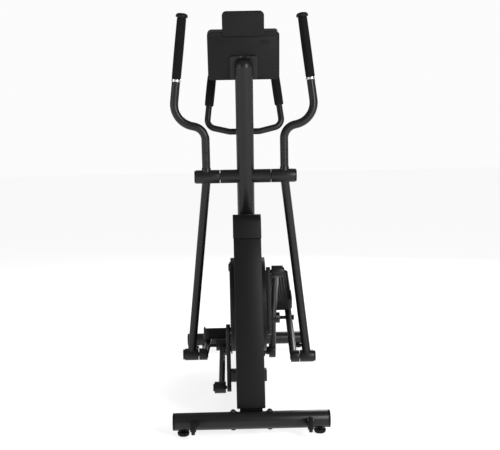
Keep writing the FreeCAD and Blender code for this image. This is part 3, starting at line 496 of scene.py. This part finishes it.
# %% Collars and caps
COLLAR_LONG = 0.009
collar_profile = [(0, 0.0168), (0.0012, 0.0180), (0.0075, 0.0180), (0.0088, 0.0168)]
cap_profile = [(0, 0.0190), (0.0008, 0.0214), (0.003, 0.0226), (0.0070, 0.0225),
               (0.0110, 0.0208), (0.0140, 0.0172), (0.0158, 0.0118), (0.0165, 0.004)]
for side in SIDES:
    trim = f"grip_trim_{side}"
    body = BODY_OF[trim]
    middle, axis, half = long_axis(f"handle_grip_{side}")
    foot = middle - axis * (half + COLLAR_LONG)
    finish_piece(turned(collar_profile, foot, axis, 48), f"grip_collar_{side}", BRIGHT_STEEL, body)
    top = middle + axis * (half + 0.0002)
    cap = finish_piece(turned(cap_profile, top, axis, 48), f"grip_cap_{side}", CAP_PLASTIC, body)
    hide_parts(trim)

# %% [markdown]
# ## Foam on the fixed handlebar
# The same foam covers the fixed handlebar's two ends. Its sleeves follow the tube's straight runs,
# whose ends are read from the sleeve solids of the frame, one on each side.

# %% Fixed handlebar sleeves
END_SLICE = 0.012       # depth of the slice that is averaged for the middle of each end


def half_axis(node, side):
    """Ends of the straight solid of a node that lies on one side of the machine."""
    points = np.array([vertex.co for vertex in NODES[node].data.vertices])
    points = points[points[:, 0] * side > 0]
    high = points[points[:, 2] > points[:, 2].max() - END_SLICE].mean(axis=0)
    low = points[points[:, 2] < points[:, 2].min() + END_SLICE].mean(axis=0)
    way = Vector(high - low).normalized()
    along = (points - low) @ np.array(way)
    return Vector(low) + way * along.min(), Vector(low) + way * along.max()


for side, way in SIDES.items():
    low, high = half_axis("foam_grips", way)
    foam_sleeve(f"fixed_sleeve_{side}", low, high, FIXED_FOAM, "frame")
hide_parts("foam_grips")

# %% [markdown]
# ## Levelling feet
# A levelling foot is a rubber cup moulded round a screw: wide where it meets the tube, with a
# rounded heel that lets it sit flat on an uneven floor.

# %% Levelling feet
FOOT_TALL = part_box("levelling_feet")[1][2]
foot_cup = [(0.0003, 0.0150), (0.0018, 0.0178), (0.0045, 0.0196), (0.0085, 0.0206),
            (0.0125, 0.0209), (0.0142, 0.0204), (0.0148, 0.0190), (0.0150, 0.0080),
            (FOOT_TALL, 0.0078)]


def solid_spots(node):
    """Middle of each separate solid of a node, grouped by which corner of the machine it is in."""
    points = np.array([vertex.co for vertex in NODES[node].data.vertices])
    middle_y = (points[:, 1].min() + points[:, 1].max()) / 2
    spots = []
    for left in (True, False):
        for front in (True, False):
            mask = ((points[:, 0] < 0) == left) & ((points[:, 1] < middle_y) == front)
            corner = points[mask]
            spots.append((corner.min(axis=0) + corner.max(axis=0)) / 2)
    return spots


feet = [turned(foot_cup, (spot[0], spot[1], 0), (0, 0, 1), 48)
        for spot in solid_spots("levelling_feet")]
cups = finish_piece(join_as_one(feet), "levelling_feet_cups", RUBBER, "frame")
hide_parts("levelling_feet")

# %% [markdown]
# ## Carriage bolts through the stabilizers
# Each stabilizer is held by two carriage bolts, with a domed nut on a washer above and a round
# head below. A dome is a short lathe profile.

# %% Stabilizer bolts
bolts = []
tube_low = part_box("front_stabilizer")[0][2]
tube_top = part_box("stabilizer_bolts")[0][2]
dome_nut = [(0, 0.0125), (0.0016, 0.0125), (0.002, 0.0085), (0.0055, 0.0082), (0.0078, 0.0066),
            (0.0091, 0.0040), (0.0095, 0.0012)]
round_head = [(0, 0.0098), (0.0012, 0.0094), (0.0030, 0.0074), (0.0042, 0.0042), (0.0046, 0.0012)]
for spot in solid_spots("stabilizer_bolts"):
    bolts.append(turned(dome_nut, (spot[0], spot[1], tube_top - 0.0006), (0, 0, 1)))
    bolts.append(turned(round_head, (spot[0], spot[1], tube_low + 0.0004), (0, 0, -1)))
heads = finish_piece(join_as_one(bolts), "stabilizer_dome_bolts", DARK_STEEL, "frame")
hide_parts("stabilizer_bolts")

# %% [markdown]
# ## Cross bolts of the moving handles
# Two button-head screws hold each handle on its socket, one above the other, and face the front.

# %% Handle bolts
HANDLE_BOLTS = (0.049, 0.090)      # distances above the swing pivot, along the handle
HANDLE_RADIUS = 0.0155
HANDLE_SIDE = 0.147
HEAD_SUNK = 0.0006
button_head = [(0, 0.0066), (0.0014, 0.0066), (0.0030, 0.0052), (0.0036, 0.0026), (0.0036, 0.0022),
               (0.0022, 0.0020)]
for side, way in SIDES.items():
    pivot = PIVOTS[f"swing_{side}"]
    foot = PIVOTS[f"foot_{side}"]
    up = Vector((0, pivot.y - foot.y, pivot.z - foot.z)).normalized()
    front = Vector((0, -up.z, up.y))
    skin = Vector((way * HANDLE_SIDE, pivot.y, pivot.z)) + front * (HANDLE_RADIUS - HEAD_SUNK)
    screws = [turned(button_head, skin + up * along, front, 24) for along in HANDLE_BOLTS]
    finish_piece(join_as_one(screws), f"handle_screws_{side}", DARK_STEEL, f"arm_{side}")

# %% [markdown]
# ## Frames of tilted pieces
# The console and the pedals are tilted. Their details are made flat and then moved by a matrix
# whose columns are the piece's own directions, and the span of a node in that frame gives its faces.

# %% Local frames
ACROSS = Vector((1, 0, 0))


def own_frame(origin, back):
    """A matrix with x across, y along `back` and z square to both."""
    back = Vector(back).normalized()
    matrix = Matrix((ACROSS, back, ACROSS.cross(back))).transposed().to_4x4()
    matrix.translation = origin
    return matrix


def span_in(node, matrix):
    """Lowest and highest corner of a node, measured in a frame of its own."""
    inverse = matrix.inverted()
    points = np.array([inverse @ vertex.co for vertex in NODES[node].data.vertices])
    return points.min(axis=0), points.max(axis=0)


press = next(joint for joint in frame["joints"] if joint["name"] == "press_start")
CONSOLE = own_frame(Vector(), -Vector(press["axis"]))
print("console faces", span_in("console_back", CONSOLE))

# %% [markdown]
# ## The console's rear cover and vents
# A console is a shallow tray closed by a rear cover. The cover stands a little proud, so a thin
# line of shade runs round it, and two groups of louvres near its top let the electronics breathe.

# %% Rear cover and vents
low, high = span_in("console_back", CONSOLE)
SEAM_DROP = 0.017       # from the console's top edge to the cover's top edge
COVER_FOOT = 0.008      # from the console's lower edge to the cover's
COVER_INSET = 0.014     # both sides together
cover_tall = high[2] - low[2] - SEAM_DROP - COVER_FOOT
cover = rounded_plate((high[0] - low[0] - COVER_INSET, 0.0024, cover_tall),
                      Vector((0, low[1], low[2] + COVER_FOOT + cover_tall / 2)), 0.014, 0.0009,
                      CONSOLE)
finish_piece(cover, "console_rear_cover", CASE_PLASTIC, "frame")

LOUVRE_SIDE = 0.079
LOUVRE_DROP = 0.016     # below the seam
LOUVRE_PITCH = 0.0052
louvres = []
for way in SIDES.values():
    for row in range(3):
        level = high[2] - SEAM_DROP - LOUVRE_DROP - row * LOUVRE_PITCH
        spot = Vector((way * LOUVRE_SIDE, low[1] - 0.0016, level))
        louvres.append(rounded_plate((0.031, 0.0022, 0.0026), spot, 0.0008, 0.0005, CONSOLE))
finish_piece(join_as_one(louvres), "console_louvres", CAP_PLASTIC, "frame")
print("louvres:", len(louvres))

# %% [markdown]
# ## Digits behind the window
# The display is a dark window with pale seven-segment digits behind it. Each digit is a few
# thin bars, and a small dictionary says which of the seven bars a digit lights.

# %% Display digits
BARS = {"a": (0, 2, True), "b": (1, 1, False), "c": (1, -1, False), "d": (0, -2, True),
        "e": (-1, -1, False), "f": (-1, 1, False), "g": (0, 0, True)}
LIT = {"0": "abcdef", "1": "bc", "2": "abged", "5": "afgcd"}
DIGIT_WIDE = 0.009
DIGIT_TALL = 0.018
DIGIT_PITCH = DIGIT_WIDE * 1.5
BAR_THICK = 0.0018
window_low, window_high = span_in("console_screen", CONSOLE)
glass = window_high[1]
middle = (window_low[2] + window_high[2]) / 2


def digit(character, x, level):
    """The lit bars of one digit."""
    pieces = []
    for name in LIT[character]:
        across, up, flat = BARS[name]
        spot = Vector((x + across * DIGIT_WIDE / 2, glass + 0.0001, level + up * DIGIT_TALL / 4))
        bar = ((DIGIT_WIDE * 0.8, 0.0006, BAR_THICK) if flat
               else (BAR_THICK, 0.0006, DIGIT_TALL * 0.4))
        pieces.append(rounded_plate(bar, spot, 0.0005, 0.0001, CONSOLE))
    return pieces


lit = []
READINGS = (("1200", 0.034, 0.018), ("125", 0.034, -0.018), ("50", -0.022, -0.018),
            ("20", -0.022, 0.018))       # figures, x of the first one, rise above the middle
for figures, x, rise in READINGS:
    level = middle + rise
    for place, character in enumerate(figures):
        lit += digit(character, x - place * DIGIT_PITCH, level)
finish_piece(join_as_one(lit), "display_digits", SEGMENTS, "frame")

# %% [markdown]
# ## Signs on the keys
# Each rubber key has a raised sign that a finger can feel: a bar to go down, a cross to go up and
# a square to start. They ride with their keys, so they sink when a key is pressed.

# %% Key signs
SIGNS = {"minus": [(0.010, 0.0022)], "plus": [(0.010, 0.0022), (0.0022, 0.010)],
         "start": [(0.0076, 0.0076)]}
for key, strokes in SIGNS.items():
    node_name = f"button_{key}"
    key_low, key_high = span_in(node_name, CONSOLE)
    centre = Vector(((key_low[0] + key_high[0]) / 2, key_high[1], (key_low[2] + key_high[2]) / 2))
    marks = [rounded_plate((wide, 0.0009, tall), centre, 0.0008, 0.0002, CONSOLE)
             for wide, tall in strokes]
    finish_piece(join_as_one(marks), f"key_sign_{key}", CAP_PLASTIC, BODY_OF[node_name])

# %% [markdown]
# ## Treads on the pedals
# A footplate is ribbed lengthwise so that a shoe can't slide sideways. The ribs stand on the
# tray's floor, end short of its walls and are rounded on top.

# %% Pedal treads
TRAY_FLOOR = 0.012      # thickness of the pedal's floor
TRAY_WALL = 0.006
RIB_WIDE = 0.005
RIB_TALL = 0.003
RIB_COUNT = 8
RIB_END_GAP = 0.075     # both ends together, clear of the toe wall and the heel lip
for side in SIDES:
    foot = PIVOTS[f"foot_{side}"]
    bar_frame = own_frame(foot, PIVOTS[f"knee_{side}"] - foot)
    low, high = span_in(f"pedal_{side}", bar_frame)
    inside = high[0] - low[0] - 2 * TRAY_WALL
    long = high[1] - low[1] - RIB_END_GAP
    ribs = []
    for index in range(RIB_COUNT):
        x = low[0] + TRAY_WALL + inside * (index + 0.5) / RIB_COUNT
        spot = Vector((x, (low[1] + high[1]) / 2, low[2] + TRAY_FLOOR + RIB_TALL / 2 - 0.0005))
        ribs.append(rounded_plate((RIB_WIDE, long, RIB_TALL), spot, 0.001, 0.0008, bar_frame))
    finish_piece(join_as_one(ribs), f"pedal_treads_{side}", PEDAL_PLASTIC, BODY_OF[f"pedal_{side}"])

# %% [markdown]
# ## Screws in the casing
# Each moulded side is held by pan-head screws round its raised cover. They sit half a millimetre
# into the side, so only their low domes show.

# %% Casing screws
COVER_BACK = -0.022     # the round cover's middle, behind the crank axle
COVER_RISE = 0.102
SCREW_RING = 0.148
pan_head = [(0, 0.0042), (0.0006, 0.0045), (0.0016, 0.0040), (0.0024, 0.0026), (0.0026, 0.0008)]
for side, way in SIDES.items():
    low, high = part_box(f"casing_{side}")
    face = low[0] if way < 0 else high[0]
    hub = PIVOTS["crank_spin"] + Vector((0, COVER_BACK, COVER_RISE))
    screws = []
    for turn in (30, 100, 150, 215, 260, 320):
        angle = math.radians(turn)
        spot = Vector((face - way * 0.0005, hub.y + SCREW_RING * math.cos(angle),
                       hub.z + SCREW_RING * math.sin(angle)))
        screws.append(turned(pan_head, spot, ACROSS * way, 20))
    finish_piece(join_as_one(screws), f"casing_screws_{side}", DARK_STEEL, "frame")
print("casing screws on each side:", len(screws))

# %% [markdown]
# ## A floor, soft light and a pale room
# Black machines are lit by what they reflect. The room seen by the lens is white paper, while the
# light that falls on the machine is held back, as a studio does with black flags, so that the
# tubes keep dark edges. One tall softbox at the front right gives each tube its broad highlight.

# %% Stage and light
bpy.ops.object.select_all(action="DESELECT")
bpy.ops.mesh.primitive_plane_add(size=300)
floor = bpy.context.object
floor.name = "studio_floor"
floor_paint = Paint("white_paper_floor")
floor_tone = floor_paint.mix(floor_paint.noise(3, 2), tone(0.52), tone(0.56))
floor.data.materials.append(floor_paint.feed(
    Base_Color=floor_tone, Roughness=0.9, Emission_Color=tone(1.0), Emission_Strength=0.78,
    Specular_IOR_Level=0.0))

world = bpy.data.worlds.new("pale_room")
world.use_nodes = True
bpy.context.scene.world = world
room = world.node_tree.nodes
links = world.node_tree.links
ray = room.new("ShaderNodeLightPath")
level = room.new("ShaderNodeMapRange")
level.inputs["To Min"].default_value = 0.30
level.inputs["To Max"].default_value = 0.97
links.new(ray.outputs["Is Camera Ray"], level.inputs["Value"])
links.new(level.outputs["Result"], room["Background"].inputs["Strength"])
room["Background"].inputs["Color"].default_value = (1, 1, 1, 1)


def softbox(name, place, width, height, power):
    """A rectangular area light aimed at the machine's middle."""
    bpy.ops.object.light_add(type="AREA", location=place)
    lamp = bpy.context.object
    lamp.name = name
    lamp.data.shape = "RECTANGLE"
    lamp.data.size = width
    lamp.data.size_y = height
    lamp.data.energy = power
    aim = Vector((0, 0, 0.8)) - Vector(place)
    lamp.rotation_euler = aim.to_track_quat("-Z", "Y").to_euler()


softbox("key_softbox", (2.2, -3.6, 1.9), 0.7, 2.2, 95)
softbox("fill_softbox", (-3.4, -2.2, 1.6), 1.2, 2.0, 22)
softbox("rear_softbox", (1.6, 3.6, 2.4), 1.6, 1.6, 60)
bpy.context.scene.view_settings.view_transform = "Standard"
